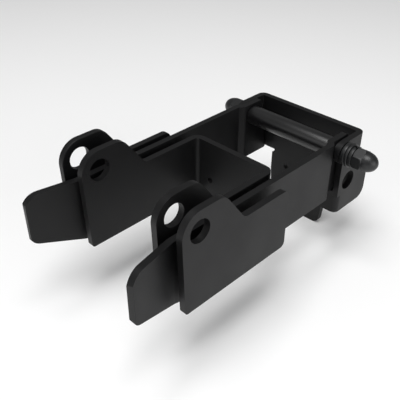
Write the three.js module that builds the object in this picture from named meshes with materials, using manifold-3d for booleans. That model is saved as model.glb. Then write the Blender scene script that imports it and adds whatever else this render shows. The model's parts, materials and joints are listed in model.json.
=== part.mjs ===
// Plate quick coupler: a hinged pair of arms with pin ears and flared guides, carried on a bent
// rear bracket by one cross stud with domed nuts. Millimetres, +Z up, arms reach forward along -Y.
import * as THREE from "three";
import { mergeVertices } from "three/addons/utils/BufferGeometryUtils.js";
import Module from "manifold-3d";

const wasm = await Module();
wasm.setup();

// Drawing frame: X = 0 is the mirror plane of the arms, Y = 0 the front edge of the ears, and Z = 0
// just under the arm plates. The finished group is moved so that its origin is on the bracket's
// rear face.
const PLATE = 5;                                  // every pressed part is cut from 5 mm plate
const GAP = 0.3;                                  // clearance left between touching parts
const ARM_BEND = 5.5;                             // bend radii at the middle of the plate
const BRACKET_BEND = 3.5;

// Arm plates, by the X of the middle of each layer
const INNER_X = 36.5;
const MIDDLE_X = 47;
const OUTER_X = 58.5;
const ARM_BOTTOM = 1.5;
const ARM_TOP = 50;
const MIDDLE_TOP = 51;
const FRONT_LEAN = 2;                             // the front edges run back this much at the bottom
const OUTER_LENGTH = 100;
const CROSS_Y = 110;                              // middle of the inner bracket's cross plate
const CROSS_HOLE = { x: 20, z: 17, radius: 2.5 };

// Pin ears, the same outline on the inner and outer plates
const EAR = { top: 75.7, frontRadius: 16, topRear: 36, foot: 55 };
const EAR_PIN = { y: 15, z: 61, radius: 8.25 };

// Flared guide at the front of each middle plate
const GUIDE = { tipX: 54.2, tipY: -33.7, foldY: 4, top: 52.5, toe: 15.3, topCorner: 12, toeCorner: 8 };

// Hinge and the narrowed rear end of the middle plates
const PIVOT = { y: 181.5, z: 41 };
const NARROW_X = 43.5;
const JOG = { start: 168.9, end: 172.9, radius: 3 };
const TAIL = { top: 193, heel: 202 };             // rear end of the middle plates
const BUSH = { outer: 7, bore: 5.3 };
const STUD_RADIUS = 5;
const TUBE_RADIUS = 8;

// Rear bracket
const FLANGE_X = 50;
const WEB_REAR = 208.3;
const WEB_BOTTOM = 2;
const FLANGE_FRONT = 180;
const FLANGE_BOTTOM = 0;
const NOSE_RADIUS = ARM_TOP - PIVOT.z;
const LUG = { rear: 221, top: 26, bottom: -16, corner: 9 };
const LUG_HOLE = { y: 192.5, z: 11.5, radius: 8 };
const LIP = { reach: 14.5, top: 3.8 };
const HEEL_RADIUS = PIVOT.z - LIP.top - 0.6;      // the right heel swings clear of the lip
const WEB_TAB = { x: 37, bottom: -7 };            // the web's lower right corner, beside the lug
const TONGUE = { half: 29.5, top: 24, taperZ: -14, bottomHalf: 26.3, bottom: -49, corner: 6 };
const TONGUE_NOTCH = { z: 4.5, radius: 2.5 };
const TONGUE_HOLE = { x: 13.2, z: -6.6, radius: 2.2 };

// Hardware stack outside the right flange. The left nut sits on its flange with nothing between.
const COLLAR = { length: 4, radius: NOSE_RADIUS };
const WASHER = { thickness: 2.2, radius: 9.5 };
const LOCK_WASHER = { thickness: 2.8, radius: 8.6, slit: 1.6 };
const NUT = { flats: 16, hexHeight: 8, height: 18, domeRadius: 7.8, boreDepth: 12 };

// ---------- plate outlines ----------

// A closed outline whose corners are [u, v, radius]; a corner with no radius stays sharp.
function roundedOutline(corners) {
  const outline = new THREE.Shape();
  corners.forEach(([u, v, radius = 0], i) => {
    const here = new THREE.Vector2(u, v);
    const before = new THREE.Vector2(...corners.at(i - 1)).sub(here).normalize();
    const after = new THREE.Vector2(...corners[(i + 1) % corners.length]).sub(here).normalize();
    if (radius === 0) {
      i === 0 ? outline.moveTo(u, v) : outline.lineTo(u, v);
      return;
    }
    const half = Math.acos(before.dot(after)) / 2;
    const setback = radius / Math.tan(half);
    const centre = before.clone().add(after).normalize().multiplyScalar(radius / Math.sin(half)).add(here);
    const start = before.clone().multiplyScalar(setback).add(here);
    const end = after.clone().multiplyScalar(setback).add(here);
    i === 0 ? outline.moveTo(start.x, start.y) : outline.lineTo(start.x, start.y);
    const from = Math.atan2(start.y - centre.y, start.x - centre.x);
    const to = Math.atan2(end.y - centre.y, end.x - centre.x);
    outline.absarc(centre.x, centre.y, radius, from, to, before.cross(after) > 0);
  });
  outline.closePath();
  return outline;
}

// The plan of a bent plate: a strip of plate thickness along a middle line with rounded bends.
function bentStrip(corners) {
  const left = [];
  const right = [];
  const put = (point, direction) => {
    const side = new THREE.Vector2(-direction.y, direction.x).multiplyScalar(PLATE / 2);
    left.push(point.clone().add(side));
    right.unshift(point.clone().sub(side));
  };
  corners.forEach(([x, y, radius], i) => {
    const here = new THREE.Vector2(x, y);
    const into = i > 0 ? here.clone().sub(new THREE.Vector2(...corners[i - 1])).normalize() : null;
    const out = i < corners.length - 1 ? new THREE.Vector2(...corners[i + 1]).sub(here).normalize() : null;
    if (!into || !out) {
      put(here, out ?? into);
      return;
    }
    const turn = Math.atan2(into.cross(out), into.dot(out));
    const setback = radius * Math.tan(Math.abs(turn) / 2);
    const start = here.clone().addScaledVector(into, -setback);
    const toCentre = new THREE.Vector2(-into.y, into.x).multiplyScalar(Math.sign(turn) * radius);
    const centre = start.clone().add(toCentre);
    const steps = Math.max(2, Math.ceil(Math.abs(turn) / THREE.MathUtils.degToRad(15)));
    for (let k = 0; k <= steps; k += 1) {
      const angle = (turn * k) / steps;
      const origin = new THREE.Vector2(0, 0);
      const point = start.clone().rotateAround(centre, angle);
      put(point, into.clone().rotateAround(origin, angle));
    }
  });
  return new THREE.Shape([...left, ...right]);
}

function circle(u, v, radius) {
  return new THREE.Shape().absarc(u, v, radius, 0, 2 * Math.PI);
}

// ---------- solids ----------

const TO_X = new THREE.Matrix4().makeBasis(
  new THREE.Vector3(0, 1, 0), new THREE.Vector3(0, 0, 1), new THREE.Vector3(1, 0, 0));
const TO_MINUS_Y = new THREE.Matrix4().makeBasis(
  new THREE.Vector3(1, 0, 0), new THREE.Vector3(0, 0, 1), new THREE.Vector3(0, -1, 0));

function solidOf(geometry) {
  geometry.deleteAttribute("normal");
  geometry.deleteAttribute("uv");
  const merged = mergeVertices(geometry, 1e-4);
  const mesh = new wasm.Mesh({
    numProp: 3,
    vertProperties: new Float32Array(merged.attributes.position.array),
    triVerts: new Uint32Array(merged.index.array),
  });
  return new wasm.Manifold(mesh);
}

function geometryOf(solid) {
  const mesh = solid.getMesh();
  const geometry = new THREE.BufferGeometry();
  geometry.setAttribute("position", new THREE.BufferAttribute(mesh.vertProperties, 3));
  geometry.setIndex(new THREE.BufferAttribute(mesh.triVerts, 1));
  return geometry;
}

function extrude(shape, depth, curveSegments) {
  return new THREE.ExtrudeGeometry(shape, { depth, bevelEnabled: false, curveSegments });
}

// A plan outline (x, y) raised from z0 to z1.
function alongZ(shape, z0, z1) {
  return solidOf(extrude(shape, z1 - z0, 8).translate(0, 0, z0));
}

// A side outline (y, z) swept from x0 to x1.
function alongX(shape, x0, x1, curveSegments = 8) {
  return solidOf(extrude(shape, x1 - x0, curveSegments).applyMatrix4(TO_X).translate(x0, 0, 0));
}

// A front outline (x, z) swept from y0 back to y1.
function alongY(shape, y0, y1, curveSegments = 8) {
  return solidOf(extrude(shape, y1 - y0, curveSegments).applyMatrix4(TO_MINUS_Y).translate(0, y1, 0));
}

// A turned part on the hinge axis, from a closed profile of [radius, x] points.
function turned(profile, segments = 40) {
  const points = profile.map(([radius, x]) => new THREE.Vector2(radius, x));
  const lathe = new THREE.LatheGeometry([...points, points[0]], segments);
  return solidOf(lathe.rotateZ(-Math.PI / 2));
}

function mirrored(solid) {
  return solid.mirror([1, 0, 0]);
}

const HOLE_SEGMENTS = 20;
const BEYOND = 90;                                // further out in X than any part

function holeAlongX({ y, z, radius }) {
  return alongX(circle(y, z, radius), -BEYOND, BEYOND, HOLE_SEGMENTS);
}

// ---------- materials ----------

const blackPlate = new THREE.MeshStandardMaterial({ color: 0x1b1b1c, roughness: 0.55, metalness: 0.1 });
const blackTube = new THREE.MeshStandardMaterial({ color: 0x202021, roughness: 0.45, metalness: 0.1 });
const blackNut = new THREE.MeshStandardMaterial({ color: 0x161617, roughness: 0.4, metalness: 0.5 });
const zincSteel = new THREE.MeshStandardMaterial({ color: 0x8d9095, roughness: 0.4, metalness: 0.9 });

// ---------- arm plates ----------

function earOutline(rear, rearTopRadius = 0) {
  return roundedOutline([
    [FRONT_LEAN, ARM_BOTTOM, 2.5],
    [rear, ARM_BOTTOM, 4],
    [rear, ARM_TOP, rearTopRadius],
    [EAR.foot, ARM_TOP, 7],
    [EAR.topRear, EAR.top, 11],
    [0, EAR.top, EAR.frontRadius],
  ]);
}

function innerBracket() {
  const plan = bentStrip([
    [INNER_X, -1],
    [INNER_X, CROSS_Y, ARM_BEND],
    [-INNER_X, CROSS_Y, ARM_BEND],
    [-INNER_X, -1],
  ]);
  let solid = alongZ(plan, -1, EAR.top + 1);
  solid = solid.intersect(alongX(earOutline(CROSS_Y + PLATE), -BEYOND, BEYOND));
  solid = solid.subtract(holeAlongX(EAR_PIN));
  for (const side of [-1, 1]) {
    const hole = circle(side * CROSS_HOLE.x, CROSS_HOLE.z, CROSS_HOLE.radius);
    solid = solid.subtract(alongY(hole, CROSS_Y - PLATE, CROSS_Y + PLATE));
  }
  return solid;
}

function outerPlate() {
  const side = earOutline(OUTER_LENGTH, 6);
  return alongX(side, OUTER_X - PLATE / 2, OUTER_X + PLATE / 2).subtract(holeAlongX(EAR_PIN));
}

function middlePlate() {
  const plan = bentStrip([
    [GUIDE.tipX, GUIDE.tipY],
    [MIDDLE_X, GUIDE.foldY, 15],
    [MIDDLE_X, JOG.start, JOG.radius],
    [NARROW_X, JOG.end, JOG.radius],
    [NARROW_X, TAIL.heel + 1],
  ]);
  const side = roundedOutline([
    [GUIDE.tipY - 1, GUIDE.toe, GUIDE.toeCorner],
    [8, ARM_BOTTOM, 20],
    [TAIL.heel, ARM_BOTTOM, 2],
    [TAIL.top, MIDDLE_TOP, 2],
    [EAR.foot + 4, MIDDLE_TOP, 6],
    [EAR.foot - 4, GUIDE.top, 6],
    [GUIDE.tipY - 1, GUIDE.top, GUIDE.topCorner],
  ]);
  const solid = alongZ(plan, -1, GUIDE.top + 1).intersect(alongX(side, 0, BEYOND));
  return solid.subtract(holeAlongX({ ...PIVOT, radius: BUSH.outer + GAP }));
}

// The right heel is cut to an arc about the hinge.
function rightMiddlePlate() {
  const below = new THREE.Shape();
  below.moveTo(JOG.end, -BEYOND);
  below.lineTo(JOG.end, ARM_BOTTOM + 1);
  const from = Math.atan2(ARM_BOTTOM + 1 - PIVOT.z, JOG.end - PIVOT.y);
  const end = Math.acos((TAIL.heel + 1 - PIVOT.y) / HEEL_RADIUS);
  below.absarc(PIVOT.y, PIVOT.z, HEEL_RADIUS, from, -end, false);
  below.lineTo(TAIL.heel + 1, -BEYOND);
  below.closePath();
  return middlePlate().subtract(alongX(below, 0, BEYOND));
}

function spacerBar(fromX, toX, startY, endY) {
  const side = roundedOutline([[startY, 6, 2], [endY, 6, 2], [endY, 26, 2], [startY, 26, 2]]);
  return alongX(side, fromX + GAP, toX - GAP);
}

// ---------- rear bracket ----------

// Side outline of a flange: a round nose over the hinge, then a straight front edge.
function flangeOutline() {
  const noseEnd = 2 * Math.PI - Math.acos((FLANGE_FRONT - PIVOT.y) / NOSE_RADIUS);
  const shape = new THREE.Shape();
  shape.moveTo(WEB_REAR + 1, ARM_TOP);
  shape.lineTo(PIVOT.y, ARM_TOP);
  shape.absarc(PIVOT.y, PIVOT.z, NOSE_RADIUS, Math.PI / 2, noseEnd, false);
  shape.lineTo(FLANGE_FRONT, FLANGE_BOTTOM);
  shape.lineTo(WEB_REAR + 1, FLANGE_BOTTOM);
  shape.closePath();
  return shape;
}

function webOutline() {
  const half = FLANGE_X + PLATE;
  const inside = FLANGE_X - PLATE / 2;
  return roundedOutline([
    [-half, ARM_TOP],
    [-half, FLANGE_BOTTOM - 1],
    [-inside, FLANGE_BOTTOM - 1],
    [-inside, WEB_BOTTOM],
    [inside, WEB_BOTTOM],
    [inside, FLANGE_BOTTOM - 1],
    [half, FLANGE_BOTTOM - 1],
    [half, ARM_TOP],
  ]);
}

// The lug below the right flange, with a lip bent in from its front edge below the right heel.
function lug() {
  const inside = FLANGE_X - PLATE / 2;
  const side = roundedOutline([
    [FLANGE_FRONT + PLATE, LUG.bottom],
    [LUG.rear, LUG.bottom, LUG.corner],
    [LUG.rear, LUG.top, 4],
    [FLANGE_FRONT + PLATE, LUG.top],
  ]);
  const lipPlan = bentStrip([
    [FLANGE_X + PLATE / 2 - LIP.reach, FLANGE_FRONT + PLATE / 2],
    [FLANGE_X, FLANGE_FRONT + PLATE / 2, PLATE / 2],
    [FLANGE_X, FLANGE_FRONT + 2 * PLATE],
  ]);
  const tab = roundedOutline([
    [WEB_TAB.x, WEB_BOTTOM + 1],
    [WEB_TAB.x, WEB_TAB.bottom, 2],
    [FLANGE_X, WEB_TAB.bottom],
    [FLANGE_X, WEB_BOTTOM + 1],
  ]);
  const lip = alongZ(lipPlan, LUG.bottom, LIP.top);
  return alongX(side, inside, inside + PLATE).add(lip).add(alongY(tab, WEB_REAR - PLATE, WEB_REAR));
}

function rearBracket() {
  const webY = WEB_REAR - PLATE / 2;
  const plan = bentStrip([
    [FLANGE_X, PIVOT.y - 2 * NOSE_RADIUS],
    [FLANGE_X, webY, BRACKET_BEND],
    [-FLANGE_X, webY, BRACKET_BEND],
    [-FLANGE_X, PIVOT.y - 2 * NOSE_RADIUS],
  ]);
  let solid = alongZ(plan, FLANGE_BOTTOM - 1, ARM_TOP);
  solid = solid.intersect(alongX(flangeOutline(), -BEYOND, BEYOND));
  solid = solid.intersect(alongY(webOutline(), 0, WEB_REAR + 1));
  solid = solid.add(lug());
  const lugHole = circle(LUG_HOLE.y, LUG_HOLE.z, LUG_HOLE.radius);
  solid = solid.subtract(alongX(lugHole, 0, BEYOND, HOLE_SEGMENTS));
  solid = solid.subtract(holeAlongX({ ...PIVOT, radius: STUD_RADIUS + GAP }));
  return solid;
}

// The plate that hangs in front of the web, tapered below it and notched at the web's bottom edge.
function tonguePlate() {
  const front = roundedOutline([
    [-TONGUE.half, TONGUE.top, 2],
    [-TONGUE.half, TONGUE.taperZ, 10],
    [-TONGUE.bottomHalf, TONGUE.bottom, TONGUE.corner],
    [TONGUE.bottomHalf, TONGUE.bottom, TONGUE.corner],
    [TONGUE.half, TONGUE.taperZ, 10],
    [TONGUE.half, TONGUE.top, 2],
  ]);
  const rear = WEB_REAR - PLATE - GAP;
  let solid = alongY(front, rear - PLATE, rear);
  for (const side of [-1, 1]) {
    const cuts = [
      circle(side * TONGUE.half, TONGUE_NOTCH.z, TONGUE_NOTCH.radius),
      circle(side * TONGUE_HOLE.x, TONGUE_HOLE.z, TONGUE_HOLE.radius),
    ];
    for (const cut of cuts) solid = solid.subtract(alongY(cut, rear - 2 * PLATE, rear + 1));
  }
  return solid;
}

// ---------- hinge hardware, modelled about the hinge axis with X outwards ----------

function ring(outer, bore, x0, x1, chamfer = 0) {
  return turned([
    [bore, x0],
    [outer - chamfer, x0],
    [outer, x0 + chamfer],
    [outer, x1 - chamfer],
    [outer - chamfer, x1],
    [bore, x1],
  ].filter((point, i, all) => i === 0 || point[0] !== all[i - 1][0] || point[1] !== all[i - 1][1]));
}

const FLANGE_FACE = FLANGE_X + PLATE / 2;
const COLLAR_START = FLANGE_FACE + GAP;
const WASHER_START = COLLAR_START + COLLAR.length + GAP;
const LOCK_START = WASHER_START + WASHER.thickness + GAP;
const RIGHT_NUT_START = LOCK_START + LOCK_WASHER.thickness + GAP;
const LEFT_NUT_START = FLANGE_FACE + GAP;

function pivotTube() {
  const end = NARROW_X - PLATE / 2 - GAP;
  return ring(TUBE_RADIUS, BUSH.bore, -end, end, 0.5);
}

function pivotStud() {
  const inNut = NUT.boreDepth - 2;
  const [left, right] = [-LEFT_NUT_START - inNut, RIGHT_NUT_START + inNut];
  return turned([
    [0, left],
    [STUD_RADIUS - 1, left],
    [STUD_RADIUS, left + 1],
    [STUD_RADIUS, right - 1],
    [STUD_RADIUS - 1, right],
    [0, right],
  ]);
}

function pivotBush() {
  return ring(BUSH.outer, BUSH.bore, NARROW_X - PLATE / 2, FLANGE_X - PLATE / 2 - GAP);
}

function lockWasher() {
  const end = LOCK_START + LOCK_WASHER.thickness;
  const body = ring(LOCK_WASHER.radius, BUSH.bore, LOCK_START, end);
  const slant = LOCK_WASHER.thickness * 0.6;
  const slit = new THREE.Shape([
    new THREE.Vector2(LOCK_START - 1, slant),
    new THREE.Vector2(LOCK_START - 1, slant + LOCK_WASHER.slit),
    new THREE.Vector2(end + 1, LOCK_WASHER.slit - slant),
    new THREE.Vector2(end + 1, -slant),
  ]);
  return body.subtract(alongZ(slit, 0, 2 * LOCK_WASHER.radius));
}

// A hexagon with two flats upright, one blind bore and a dome over its end.
function domedNut(start) {
  const cornerRadius = NUT.flats / 2 / Math.cos(Math.PI / 6);
  const hexEnd = start + NUT.hexHeight;
  const corners = [0, 1, 2, 3, 4, 5].map((k) => {
    const angle = ((2 * k + 1) * Math.PI) / 6;
    return new THREE.Vector2(cornerRadius * Math.cos(angle), cornerRadius * Math.sin(angle));
  });
  const prism = alongX(new THREE.Shape(corners), start, hexEnd);
  const chamferedBlank = turned([
    [0, start],
    [NUT.flats / 2, start],
    [cornerRadius, start + 0.8],
    [cornerRadius, hexEnd - 0.8],
    [NUT.flats / 2, hexEnd],
    [0, hexEnd],
  ], 48);
  const dome = turned(domeProfile(hexEnd, start + NUT.height));
  const bore = ring(BUSH.bore, 0, start - 1, start + NUT.boreDepth);
  return prism.intersect(chamferedBlank).add(dome).subtract(bore);
}

// A tall half ellipse from the end of the hexagon to the tip, sunk 1 mm into the hexagon.
function domeProfile(base, tip) {
  const profile = [[0, base - 1], [NUT.domeRadius, base - 1]];
  const steps = 9;
  for (let k = 0; k <= steps; k += 1) {
    const angle = (k / steps) * (Math.PI / 2);
    const radius = k === steps ? 0 : NUT.domeRadius * Math.cos(angle);
    profile.push([radius, base + (tip - base) * Math.sin(angle)]);
  }
  return profile;
}

// ---------- assembly ----------

const coupler = new THREE.Group();
coupler.position.set(0, -WEB_REAR, -(ARM_TOP + WEB_BOTTOM) / 2);

function place(name, solid, material, parent = coupler) {
  const mesh = new THREE.Mesh(geometryOf(solid), material);
  mesh.name = name;
  parent.add(mesh);
}

function placePair(name, solid, material, parent = coupler) {
  place(`${name}_right`, solid, material, parent);
  place(`${name}_left`, mirrored(solid), material, parent);
}

place("inner_bracket", innerBracket(), blackPlate);
place("middle_plate_right", rightMiddlePlate(), blackPlate);
place("middle_plate_left", mirrored(middlePlate()), blackPlate);
placePair("outer_plate", outerPlate(), blackPlate);
const [innerFace, middleIn] = [INNER_X + PLATE / 2, MIDDLE_X - PLATE / 2];
const [middleOut, outerFace] = [MIDDLE_X + PLATE / 2, OUTER_X - PLATE / 2];
placePair("inner_spacer", spacerBar(innerFace, middleIn, 28, 98), blackPlate);
placePair("outer_spacer", spacerBar(middleOut, outerFace, 24, 84), blackPlate);
place("rear_bracket", rearBracket(), blackPlate);
place("tongue_plate", tonguePlate(), blackPlate);

const hinge = new THREE.Group();
hinge.position.set(0, PIVOT.y, PIVOT.z);
coupler.add(hinge);
const collar = ring(COLLAR.radius, BUSH.bore, COLLAR_START, COLLAR_START + COLLAR.length, 0.8);
const washer = ring(WASHER.radius, BUSH.bore, WASHER_START, WASHER_START + WASHER.thickness, 0.3);
place("pivot_tube", pivotTube(), blackTube, hinge);
place("pivot_stud", pivotStud(), zincSteel, hinge);
placePair("pivot_bush", pivotBush(), blackNut, hinge);
place("hinge_collar", collar, blackNut, hinge);
place("flat_washer", washer, blackNut, hinge);
place("lock_washer", lockWasher(), blackNut, hinge);
place("domed_nut_right", domedNut(RIGHT_NUT_START), blackNut, hinge);
place("domed_nut_left", mirrored(domedNut(LEFT_NUT_START)), blackNut, hinge);

export default coupler;
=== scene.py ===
# Plate quick coupler in satin black powder coat, on a plain pale floor.
import json
import math

import bmesh
import bpy
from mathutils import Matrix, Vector


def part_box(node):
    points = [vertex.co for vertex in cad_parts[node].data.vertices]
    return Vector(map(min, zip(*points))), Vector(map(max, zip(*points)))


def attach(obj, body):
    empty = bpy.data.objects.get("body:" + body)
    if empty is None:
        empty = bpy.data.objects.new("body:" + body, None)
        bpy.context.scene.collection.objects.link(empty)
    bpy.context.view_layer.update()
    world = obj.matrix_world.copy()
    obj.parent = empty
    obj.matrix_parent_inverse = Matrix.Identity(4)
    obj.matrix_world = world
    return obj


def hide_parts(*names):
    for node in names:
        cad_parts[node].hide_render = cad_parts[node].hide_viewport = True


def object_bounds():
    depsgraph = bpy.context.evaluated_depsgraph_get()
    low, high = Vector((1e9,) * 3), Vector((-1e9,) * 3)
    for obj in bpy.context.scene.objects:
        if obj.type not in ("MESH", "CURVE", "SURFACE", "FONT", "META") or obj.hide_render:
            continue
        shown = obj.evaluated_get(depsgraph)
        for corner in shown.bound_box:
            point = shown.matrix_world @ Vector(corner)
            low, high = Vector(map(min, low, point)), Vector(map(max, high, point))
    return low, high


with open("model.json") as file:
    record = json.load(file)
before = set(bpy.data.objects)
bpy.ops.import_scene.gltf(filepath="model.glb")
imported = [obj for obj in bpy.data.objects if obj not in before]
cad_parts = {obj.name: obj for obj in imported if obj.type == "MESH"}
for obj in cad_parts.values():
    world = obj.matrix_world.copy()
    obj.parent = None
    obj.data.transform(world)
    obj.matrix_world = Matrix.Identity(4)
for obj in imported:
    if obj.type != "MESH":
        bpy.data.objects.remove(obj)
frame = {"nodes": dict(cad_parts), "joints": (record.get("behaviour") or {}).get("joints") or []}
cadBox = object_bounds()
mm = 0.001

hingeY, hingeZ = frame["joints"][0]["pos_m"][1:]

# The camera is set first, so that every stage can be looked at from the same place.
cameraSpec = {
    "place": (252.8 * mm, -386.7 * mm, 245.7 * mm),
    "azimuth": 44.807,          # degrees round from straight ahead
    "elevation": 34.72,
    "lens": 53.55,
    "sensor": 36.0,
    "near": 0.01,
}


def makeCamera(spec):
    data = bpy.data.cameras.new("viewCamera")
    data.lens = spec["lens"]
    data.sensor_width = spec["sensor"]
    data.clip_start = spec["near"]
    camera = bpy.data.objects.new("viewCamera", data)
    bpy.context.collection.objects.link(camera)
    turn, lift = math.radians(spec["azimuth"]), math.radians(spec["elevation"])
    back = Vector((math.sin(turn) * math.cos(lift), -math.cos(turn) * math.cos(lift), math.sin(lift)))
    camera.rotation_mode = "QUATERNION"
    camera.rotation_quaternion = (-back).to_track_quat("-Z", "Y")
    camera.location = spec["place"]
    bpy.context.scene.camera = camera


makeCamera(cameraSpec)
print("camera set")


def linear(hexColour):
    channels = [int(hexColour[i:i + 2], 16) / 255 for i in (1, 3, 5)]
    return tuple(c / 12.92 if c <= 0.04045 else ((c + 0.055) / 1.055) ** 2.4 for c in channels) + (1.0,)


# Adds a node. A setting in_Name is the value of that input, any other is a property of the node.
# Links are (input, source node, output), each socket by its name or number.
def addNode(tree, kind, links=(), **settings):
    node = tree.nodes.new(kind)
    for key, value in settings.items():
        if key.startswith("in_"):
            name = key[3:]
            node.inputs[int(name) if name.isdigit() else name.replace("_", " ")].default_value = value
        else:
            setattr(node, key, value)
    for socket, source, output in links:
        tree.links.new(source.outputs[output], node.inputs[socket])
    return node


def blankMaterial(name):
    material = bpy.data.materials.new(name)
    material.use_nodes = True
    tree = material.node_tree
    tree.nodes.clear()
    shader = addNode(tree, "ShaderNodeBsdfPrincipled")
    addNode(tree, "ShaderNodeOutputMaterial", [("Surface", shader, "BSDF")])
    return material, tree, shader


cloudDetail, lineDetail = 3.0, 1.0
cloudRange = (0.3, 0.7)         # what a noise texture mostly gives


def toneAndGloss(tree, shader, cloud, spec):
    # slow clouds of a slightly lighter tone and a slightly duller gloss
    colour = addNode(tree, "ShaderNodeMix", [("Factor", cloud, "Fac")], data_type="RGBA",
                     in_6=linear(spec["dark"]), in_7=linear(spec["light"]))
    tree.links.new(colour.outputs[2], shader.inputs["Base Color"])
    gloss = addNode(tree, "ShaderNodeMapRange", [("Value", cloud, "Fac")],
                    in_1=cloudRange[0], in_2=cloudRange[1],
                    in_3=spec["roughness"][0], in_4=spec["roughness"][1])
    tree.links.new(gloss.outputs[0], shader.inputs["Roughness"])


# Polyester powder baked on steel plate: satin and nearly black, with the shallow dimples of orange
# peel that blur reflections. The grain is drawn coarser than the real one, so that it shows.
def powderCoat(name, spec):
    material, tree, shader = blankMaterial(name)
    shader.inputs["IOR"].default_value = spec["ior"]
    place = addNode(tree, "ShaderNodeTexCoord")
    cloud = addNode(tree, "ShaderNodeTexNoise", [("Vector", place, "Object")],
                    in_Scale=1 / (spec["cloudSize"] * mm), in_Detail=cloudDetail)
    toneAndGloss(tree, shader, cloud, spec)
    peel = addNode(tree, "ShaderNodeTexNoise", [("Vector", place, "Object")],
                   in_Scale=1 / (spec["peelSize"] * mm))
    grain = addNode(tree, "ShaderNodeTexNoise", [("Vector", place, "Object")],
                    in_Scale=1 / (spec["grainSize"] * mm))
    height = addNode(tree, "ShaderNodeMath", [(0, grain, "Fac"), (2, peel, "Fac")],
                     operation="MULTIPLY_ADD", in_1=spec["grainShare"])
    bump = addNode(tree, "ShaderNodeBump", [("Height", height, 0)],
                   in_Strength=spec["bump"], in_Distance=spec["depth"] * mm)
    tree.links.new(bump.outputs[0], shader.inputs["Normal"])
    return material


# Zinc plate on turned steel, with fine lathe lines round the hinge axis, drawn wider than a real
# finishing cut, so that they show. Left bright it is grey metal. The black passivation is a dull film
# that hides the metal, so it is not metallic.
def zincPlate(name, spec):
    material, tree, shader = blankMaterial(name)
    shader.inputs["Metallic"].default_value = spec["metallic"]
    place = addNode(tree, "ShaderNodeTexCoord")
    centred = addNode(tree, "ShaderNodeMapping", [("Vector", place, "Object")],
                      in_Location=(0.0, -hingeY, -hingeZ))
    split = addNode(tree, "ShaderNodeSeparateXYZ", [(0, centred, 0)])
    across = addNode(tree, "ShaderNodeCombineXYZ", [("Y", split, "Y"), ("Z", split, "Z")])
    radius = addNode(tree, "ShaderNodeVectorMath", [(0, across, 0)], operation="LENGTH")
    turnedPlace = addNode(tree, "ShaderNodeCombineXYZ", [("X", radius, "Value"), ("Y", split, "X")])
    cloud = addNode(tree, "ShaderNodeTexNoise", [("Vector", place, "Object")],
                    in_Scale=1 / (spec["cloudSize"] * mm), in_Detail=cloudDetail)
    toneAndGloss(tree, shader, cloud, spec)
    lines = addNode(tree, "ShaderNodeTexNoise", [("Vector", turnedPlace, 0)],
                    in_Scale=1 / (spec["lineSize"] * mm), in_Detail=lineDetail)
    bump = addNode(tree, "ShaderNodeBump", [("Height", lines, "Fac")],
                   in_Strength=spec["bump"], in_Distance=spec["depth"] * mm)
    tree.links.new(bump.outputs[0], shader.inputs["Normal"])
    return material


plateCoat = {"dark": "#0b0b0c", "light": "#101011", "ior": 1.34, "roughness": (0.44, 0.52),
             "cloudSize": 30.0, "peelSize": 2.2, "grainSize": 0.5, "grainShare": 0.3,
             "bump": 0.25, "depth": 0.05}
tubeCoat = dict(plateCoat, roughness=(0.28, 0.34), ior=1.6, peelSize=3.0, bump=0.12)
weldCoat = dict(plateCoat, roughness=(0.36, 0.46), peelSize=1.2, bump=0.35)
blackPlating = {"dark": "#101112", "light": "#18191a", "metallic": 0.0, "roughness": (0.36, 0.44),
                "cloudSize": 6.0, "lineSize": 0.35, "bump": 0.2, "depth": 0.02}
brightPlating = dict(blackPlating, dark="#7d8186", light="#989ca1", metallic=1.0, roughness=(0.3, 0.42))

satinPowderCoat = powderCoat("satinPowderCoat", plateCoat)
smoothPowderCoat = powderCoat("smoothPowderCoat", tubeCoat)
coatedWeld = powderCoat("coatedWeld", weldCoat)
blackZinc = zincPlate("blackZinc", blackPlating)
brightZinc = zincPlate("brightZinc", brightPlating)
print("materials made")


def linkMesh(name, mesh, material):
    piece = bpy.data.objects.new(name, mesh)
    bpy.context.collection.objects.link(piece)
    mesh.materials.clear()
    mesh.materials.append(material)
    return piece


def bakeModifiers(piece):
    graph = bpy.context.evaluated_depsgraph_get()
    mesh = bpy.data.meshes.new_from_object(piece.evaluated_get(graph))
    piece.modifiers.clear()
    piece.data = mesh


def smoothSurface(mesh, sharpAngle):
    for face in mesh.polygons:
        face.use_smooth = True
    mesh.set_sharp_from_angle(angle=math.radians(sharpAngle))


def finishPiece(piece, body, slotName, *nodes):
    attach(piece, body)
    if nodes:
        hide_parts(*nodes)


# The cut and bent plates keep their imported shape, with every sharp edge broken as the coating
# and the deburring leave it.
plateSpec = {"edge": 0.55, "edgeSegments": 3, "bevelAngle": 30, "sharpAngle": 32, "flatAngle": 0.5,
             "merge": 0.001, "flatWeight": 90}
plateBodies = {
    "arms": ["inner_bracket", "middle_plate_right", "middle_plate_left", "outer_plate_right",
             "outer_plate_left", "inner_spacer_right", "inner_spacer_left", "outer_spacer_right",
             "outer_spacer_left"],
    "bracket": ["rear_bracket", "tongue_plate"],
}


def cleanCopy(node, spec):
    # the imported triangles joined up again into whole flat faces
    mesh = frame["nodes"][node].data.copy()
    work = bmesh.new()
    work.from_mesh(mesh)
    bmesh.ops.remove_doubles(work, verts=work.verts, dist=spec["merge"] * mm)
    bmesh.ops.dissolve_limit(work, verts=work.verts, edges=work.edges,
                             angle_limit=math.radians(spec["flatAngle"]))
    work.to_mesh(mesh)
    work.free()
    return mesh


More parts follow.
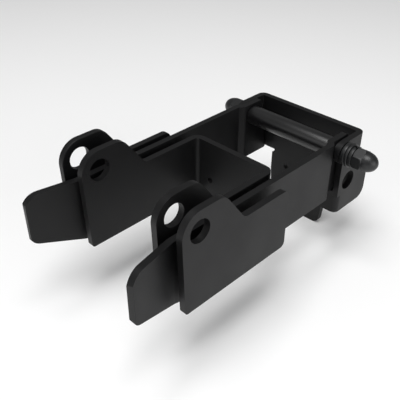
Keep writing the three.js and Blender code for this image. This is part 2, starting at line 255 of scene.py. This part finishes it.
def breakEdges(piece, spec):
    bevel = piece.modifiers.new("edgeBreak", "BEVEL")
    bevel.width = spec["edge"] * mm
    bevel.segments = spec["edgeSegments"]
    bevel.limit_method = "ANGLE"
    bevel.angle_limit = math.radians(spec["bevelAngle"])
    bevel.use_clamp_overlap = True
    bevel.miter_outer = "MITER_ARC"
    bakeModifiers(piece)
    smoothSurface(piece.data, spec["sharpAngle"])
    flatten = piece.modifiers.new("flatFaces", "WEIGHTED_NORMAL")     # the big faces set the shading
    flatten.keep_sharp = True
    flatten.weight = spec["flatWeight"]
    bakeModifiers(piece)


for body, nodes in plateBodies.items():
    for node in nodes:
        plate = linkMesh(node + "_coated", cleanCopy(node, plateSpec), satinPowderCoat)
        breakEdges(plate, plateSpec)
        finishPiece(plate, body, "black_plate", node)
print("plates finished")


def around(x, radius, angle):
    # a point at this distance and angle from the hinge axis, the angle turning from +Y towards +Z
    return (x, hingeY + radius * math.cos(angle), hingeZ + radius * math.sin(angle))


def meshFrom(name, work):
    bmesh.ops.recalc_face_normals(work, faces=work.faces)
    mesh = bpy.data.meshes.new(name)
    work.to_mesh(mesh)
    work.free()
    return mesh


# A shape turned on the hinge axis, from a profile of (radius, x) points. A radius may be a function
# of the angle. The profile closes on itself, or on the axis where its ends have no radius.
def turnedMesh(name, profile, steps=96):
    work = bmesh.new()
    rings = []
    for radius, x in profile:
        if radius == 0:
            rings.append([work.verts.new(around(x, 0, 0))])
            continue
        angles = [2 * math.pi * k / steps for k in range(steps)]
        radii = [radius(angle) if callable(radius) else radius for angle in angles]
        rings.append([work.verts.new(around(x, r, angle)) for r, angle in zip(radii, angles)])
    pairs = list(zip(rings, rings[1:]))
    if len(rings[0]) > 1:
        pairs.append((rings[-1], rings[0]))
    for first, second in pairs:
        for k in range(steps):
            n = (k + 1) % steps
            corners = [ring[i % len(ring)] for ring, i in ((first, k), (first, n), (second, n), (second, k))]
            corners = list(dict.fromkeys(corners))
            if len(corners) > 2:
                work.faces.new(corners)
    return meshFrom(name, work)


def arcPoints(centreRadius, centreX, size, start, end, steps=4):
    # part of a profile: an arc between two angles in degrees, 0 pointing away from the axis
    angles = [math.radians(start + (end - start) * k / steps) for k in range(steps + 1)]
    return [(centreRadius + size * math.cos(a), centreX + size * math.sin(a)) for a in angles]


def ringProfile(outer, bore, x0, x1, edge):
    # a washer or tube section with its four corners rounded
    corners = [(outer - edge, x1 - edge), (bore + edge, x1 - edge),
               (bore + edge, x0 + edge), (outer - edge, x0 + edge)]
    return [point for k, (radius, x) in enumerate(corners)
            for point in arcPoints(radius, x, edge, 90 * k, 90 * k + 90)]


def spanX(node):
    low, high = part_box(node)
    return low[0], high[0]


def outerRadius(node):
    low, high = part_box(node)
    return (high[2] - low[2]) / 2


stackBore = 5.3                 # the clearance bore of everything on the 10 mm stud
turnedSharp = 40                # edges of turned parts stay sharp above this angle
stackSpec = {
    "pivot_tube": {"body": "arms", "edge": 0.6, "slot": "black_tube", "material": smoothPowderCoat},
    "pivot_bush_right": {"body": "arms", "edge": 0.3, "slot": "black_hardware", "material": blackZinc},
    "pivot_bush_left": {"body": "arms", "edge": 0.3, "slot": "black_hardware", "material": blackZinc},
    "hinge_collar": {"body": "bracket", "edge": 1.0, "slot": "black_hardware", "material": blackZinc},
    "flat_washer": {"body": "bracket", "edge": 0.4, "slot": "black_hardware", "material": blackZinc},
}

for node, spec in stackSpec.items():
    x0, x1 = spanX(node)
    profile = ringProfile(outerRadius(node), stackBore * mm, x0, x1, spec["edge"] * mm)
    ring = linkMesh(node + "_turned", turnedMesh(node, profile), spec["material"])
    smoothSurface(ring.data, turnedSharp)
    finishPiece(ring, spec["body"], spec["slot"], node)
print("tube, bushes, collar and washer turned")

# The spring washer is a square wire wound once round, cut on a slant at the top.
springSpec = {"edge": 0.35, "slit": 1.6, "slant": 2.4, "steps": 120}


def springWasherMesh(node, spec):
    x0, x1 = spanX(node)
    section = ringProfile(outerRadius(node), stackBore * mm, x0, x1, spec["edge"] * mm)
    work = bmesh.new()
    rings = []
    for k in range(spec["steps"] + 1):
        ring = []
        for radius, x in section:
            lean = spec["slant"] * mm * (0.5 - (x - x0) / (x1 - x0)) / radius
            gap = spec["slit"] * mm / radius
            angle = math.pi / 2 - lean + gap / 2 + (2 * math.pi - gap) * k / spec["steps"]
            ring.append(work.verts.new(around(x, radius, angle)))
        rings.append(ring)
    for first, second in zip(rings, rings[1:]):
        for i in range(len(section)):
            work.faces.new((first[i - 1], first[i], second[i], second[i - 1]))
    work.faces.new(rings[0])
    work.faces.new(rings[-1])
    return meshFrom(node, work)


springWasher = linkMesh("lock_washer_wound", springWasherMesh("lock_washer", springSpec), blackZinc)
smoothSurface(springWasher.data, turnedSharp)
finishPiece(springWasher, "bracket", "black_hardware", "lock_washer")
print("spring washer wound")

# Domed nuts: a chamfered hexagon with two flats upright, then a cap in the form of a tall half ellipse.
nutSpec = {
    "flats": 16.0,
    "hexHeight": 8.0,
    "chamfer": 0.9,
    "face": 7.4,                # radius of the bearing face
    "cornerCut": 0.12,          # taken off each corner of the hexagon
    "domeRadius": 7.8,
    "boreDepth": 12.0,
    "countersink": 0.6,
    "chamferSteps": 6,
    "domeSteps": 16,
    "steps": 144,
    "sharpAngle": 28,
}


def hexRadius(spec, limit):
    # distance out to the flat that faces an angle, no further than the limit
    def radius(angle):
        fromFlat = (angle + math.pi / 6) % (math.pi / 3) - math.pi / 6
        return min(spec["flats"] * mm / 2 / math.cos(fromFlat), limit * mm)
    return radius


def nutProfile(spec, length):
    # x runs from the bearing face outwards, in metres
    edge = spec["flats"] / 2
    corner = edge / math.cos(math.pi / 6) - spec["cornerCut"]
    shares = [k / spec["chamferSteps"] for k in range(spec["chamferSteps"] + 1)]
    levels = [(spec["face"], 0.0)]
    levels += [(edge + (corner - edge) * t, spec["chamfer"] * t) for t in shares]
    levels += [(edge + (corner - edge) * t, spec["hexHeight"] - spec["chamfer"] * t)
               for t in reversed(shares)]
    body = [(hexRadius(spec, limit), x * mm) for limit, x in levels]
    bore, deep, sink = stackBore * mm, spec["boreDepth"] * mm, spec["countersink"] * mm
    inside = [(0, deep), (bore, deep), (bore, sink), (bore + sink, 0.0)]
    base = spec["hexHeight"] * mm
    cap = [(spec["domeRadius"] * mm * radius, base + (length - base) * x)
           for radius, x in arcPoints(0.0, 0.0, 1.0, 0, 90, spec["domeSteps"])[:-1]]
    return inside + body + cap + [(0, length)]


def placeNut(node, side):
    x0, x1 = spanX(node)
    start, length = (x0, x1 - x0) if side > 0 else (x1, x1 - x0)
    profile = [(radius, start + side * x) for radius, x in nutProfile(nutSpec, length)]
    nut = linkMesh(node + "_turned", turnedMesh(node, profile, nutSpec["steps"]), blackZinc)
    smoothSurface(nut.data, nutSpec["sharpAngle"])
    finishPiece(nut, "bracket", "black_hardware", node)


placeNut("domed_nut_right", 1)
placeNut("domed_nut_left", -1)
print("domed nuts made")

# The stud: a plain bright shank with a rolled metric thread at each end.
studSpec = {"radius": 5.0, "pitch": 1.5, "depth": 0.9, "thread": 20.0, "runOut": 2.0, "chamfer": 1.0,
            "levels": 6, "steps": 48}


def threadRadius(spec, x, fromEnd):
    # a V groove that winds round once in each pitch, shallower where it runs out and at the chamfer
    fade = min(1.0, max(0.0, (spec["thread"] - fromEnd) / spec["runOut"]))
    crest = spec["radius"] - max(0.0, spec["chamfer"] - fromEnd)

    def radius(angle):
        turn = (x / (spec["pitch"] * mm) + angle / (2 * math.pi)) % 1
        groove = spec["radius"] - spec["depth"] * fade * (1 - abs(2 * turn - 1))
        return min(crest, groove) * mm
    return radius


def studProfile(spec):
    x0, x1 = spanX("pivot_stud")
    count = int(spec["thread"] / spec["pitch"] * spec["levels"])
    offsets = [spec["thread"] * k / count for k in range(count + 1)]
    left = [(threadRadius(spec, x0 + d * mm, d), x0 + d * mm) for d in offsets]
    right = [(threadRadius(spec, x1 - d * mm, d), x1 - d * mm) for d in reversed(offsets)]
    return [(0, x0)] + left + right + [(0, x1)]


stud = linkMesh("pivot_stud_turned", turnedMesh("pivot_stud", studProfile(studSpec), studSpec["steps"]),
                brightZinc)
smoothSurface(stud.data, turnedSharp)
finishPiece(stud, "bracket", "zinc_stud", "pivot_stud")
print("stud threaded")

# Fillet welds, one bead along each seam, with the ripples that the weld pool leaves as it steps on.
weldSpec = {"radius": 1.3, "ripplePitch": 1.5, "rippleDepth": 0.14, "wander": 0.12, "seed": 7,
            "stepsPerRipple": 6, "endMargin": 2.0, "tongueMargin": 3.5, "webBottom": -24.0,
            "wanderPace": 0.7, "endThickness": 0.3, "sides": 12, "sharpAngle": 60}


def weldTree(spec, material):
    tree = bpy.data.node_groups.new("filletWeld", "GeometryNodeTree")
    interface = tree.interface
    interface.new_socket("Geometry", in_out="OUTPUT", socket_type="NodeSocketGeometry")
    interface.new_socket("Geometry", in_out="INPUT", socket_type="NodeSocketGeometry")
    for name in ("Bead Radius", "Ripple Pitch", "Ripple Depth", "Wander", "Seed"):
        interface.new_socket(name, in_out="INPUT", socket_type="NodeSocketFloat")
    given = addNode(tree, "NodeGroupInput")
    seam = addNode(tree, "GeometryNodeMeshToCurve", [("Mesh", given, "Geometry")])
    step = addNode(tree, "ShaderNodeMath", [(0, given, "Ripple Pitch")], operation="DIVIDE",
                   in_1=spec["stepsPerRipple"])
    fine = addNode(tree, "GeometryNodeResampleCurve", [("Curve", seam, "Curve"), ("Length", step, 0)],
                   mode="LENGTH")

    # each ripple is half a sine wave, so the valleys between them are sharp
    along = addNode(tree, "GeometryNodeSplineParameter")
    count = addNode(tree, "ShaderNodeMath", [(0, along, "Length"), (1, given, "Ripple Pitch")],
                    operation="DIVIDE")
    phase = addNode(tree, "ShaderNodeMath", [(0, count, 0)], operation="MULTIPLY", in_1=math.pi)
    wave = addNode(tree, "ShaderNodeMath", [(0, phase, 0)], operation="SINE")
    hump = addNode(tree, "ShaderNodeMath", [(0, wave, 0)], operation="ABSOLUTE")
    valley = addNode(tree, "ShaderNodeMath", [(1, given, "Ripple Depth")], operation="SUBTRACT", in_0=1.0)
    ripple = addNode(tree, "ShaderNodeMapRange", [("Value", hump, 0), (3, valley, 0)])

    # the hand that held the torch was not quite steady
    drift = addNode(tree, "ShaderNodeMath", [(0, count, 0), (1, given, "Seed")], operation="ADD")
    noise = addNode(tree, "ShaderNodeTexNoise", [("W", drift, 0)], noise_dimensions="1D",
                    in_Scale=spec["wanderPace"])
    thin = addNode(tree, "ShaderNodeMath", [(1, given, "Wander")], operation="SUBTRACT", in_0=1.0)
    thick = addNode(tree, "ShaderNodeMath", [(1, given, "Wander")], operation="ADD", in_0=1.0)
    width = addNode(tree, "ShaderNodeMapRange", [("Value", noise, "Fac"), (3, thin, 0), (4, thick, 0)])

    # round ends
    whole = addNode(tree, "GeometryNodeSplineLength")
    rest = addNode(tree, "ShaderNodeMath", [(0, whole, "Length"), (1, along, "Length")],
                   operation="SUBTRACT")
    toEnd = addNode(tree, "ShaderNodeMath", [(0, along, "Length"), (1, rest, 0)], operation="MINIMUM")
    taper = addNode(tree, "ShaderNodeMapRange", [("Value", toEnd, 0), (2, given, "Bead Radius")],
                    interpolation_type="SMOOTHSTEP", in_3=spec["endThickness"])

    scale = given
    socket = "Bead Radius"
    for factor in (ripple, width, taper):
        scale = addNode(tree, "ShaderNodeMath", [(0, scale, socket), (1, factor, 0)], operation="MULTIPLY")
        socket = 0
    section = addNode(tree, "GeometryNodeCurvePrimitiveCircle", in_Resolution=spec["sides"],
                      in_Radius=1.0)
    bead = addNode(tree, "GeometryNodeCurveToMesh",
                   [("Curve", fine, "Curve"), ("Profile Curve", section, "Curve"), ("Scale", scale, 0)],
                   in_Fill_Caps=True)
    real = addNode(tree, "GeometryNodeRealizeInstances", [("Geometry", bead, "Mesh")])
    coated = addNode(tree, "GeometryNodeSetMaterial", [("Geometry", real, "Geometry")], in_Material=material)
    addNode(tree, "NodeGroupOutput", [("Geometry", coated, "Geometry")])
    return tree


def weldSeams(name, body, tree, spec, seams):
    work = bmesh.new()
    for seam in seams:
        work.edges.new([work.verts.new(point) for point in seam])
    mesh = bpy.data.meshes.new(name)
    work.to_mesh(mesh)
    work.free()
    piece = linkMesh(name, mesh, coatedWeld)
    weld = piece.modifiers.new("filletWeld", "NODES")
    weld.node_group = tree
    values = {"Bead Radius": spec["radius"] * mm, "Ripple Pitch": spec["ripplePitch"] * mm,
              "Ripple Depth": spec["rippleDepth"], "Wander": spec["wander"], "Seed": spec["seed"]}
    for item in tree.interface.items_tree:
        if item.name in values:
            weld[item.identifier] = values[item.name]
    bakeModifiers(piece)
    smoothSurface(piece.data, spec["sharpAngle"])
    finishPiece(piece, body, "black_plate")


def spacerSeams(node, spec):
    # both long edges of a spacer's top and bottom, against the plates on each side of it
    low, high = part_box(node)
    stop = spec["endMargin"] * mm
    return [((x, low[1] + stop, z), (x, high[1] - stop, z))
            for x in (low[0], high[0]) for z in (low[2], high[2])]


def tongueSeams(spec):
    # the tongue's top edge, and the web's bottom edge behind the tongue
    low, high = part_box("tongue_plate")
    reach = high[0] - spec["tongueMargin"] * mm
    return [((-reach, high[1], z), (reach, high[1], z)) for z in (high[2], spec["webBottom"] * mm)]


filletWeld = weldTree(weldSpec, coatedWeld)
armSeams = []
for node in ("inner_spacer_right", "inner_spacer_left", "outer_spacer_right", "outer_spacer_left"):
    armSeams += spacerSeams(node, weldSpec)
weldSeams("arm_welds", "arms", filletWeld, weldSpec, armSeams)
weldSeams("bracket_welds", "bracket", filletWeld, weldSpec, tongueSeams(weldSpec))
print("seams welded")

# A white studio: paper floor, one soft box to the right, a weaker one in front, one above.
studioSpec = {
    "floor": {"size": 30, "colour": "#fafafa", "roughness": 0.9},
    "world": 0.25,
    "boxes": {
        "rightBox": {"place": (1.3, -0.15, 0.35), "size": (1.2, 0.8), "power": 7},
        "frontBox": {"place": (-0.3, -1.5, 0.6), "size": (1.2, 0.8), "power": 2.2},
        "topBox": {"place": (0.1, -0.45, 1.5), "size": (1.0, 1.0), "power": 21},
    },
}


def makeFloor(spec, height):
    bpy.ops.mesh.primitive_plane_add(size=spec["size"], location=(0, 0, height))
    floor = bpy.context.object
    floor.name = "studioFloor"
    material, tree, shader = blankMaterial("palePaper")       # matt paper, one even tone
    shader.inputs["Base Color"].default_value = linear(spec["colour"])
    shader.inputs["Roughness"].default_value = spec["roughness"]
    floor.data.materials.append(material)


def softBox(name, spec, target):
    data = bpy.data.lights.new(name, "AREA")
    data.shape = "RECTANGLE"
    data.size, data.size_y = spec["size"]
    data.energy = spec["power"]
    lamp = bpy.data.objects.new(name, data)
    bpy.context.collection.objects.link(lamp)
    lamp.location = spec["place"]
    lamp.rotation_mode = "QUATERNION"
    lamp.rotation_quaternion = (target - lamp.location).to_track_quat("-Z", "Y")


def whiteWorld(strength):
    world = bpy.data.worlds.new("studioWhite")
    world.use_nodes = True
    background = world.node_tree.nodes["Background"]
    background.inputs["Color"].default_value = (1, 1, 1, 1)
    background.inputs["Strength"].default_value = strength
    bpy.context.scene.world = world


makeFloor(studioSpec["floor"], cadBox[0][2])
for name, spec in studioSpec["boxes"].items():
    softBox(name, spec, (cadBox[0] + cadBox[1]) / 2)
whiteWorld(studioSpec["world"])
bpy.context.scene.view_settings.view_transform = "Standard"
print("floor and lights set")
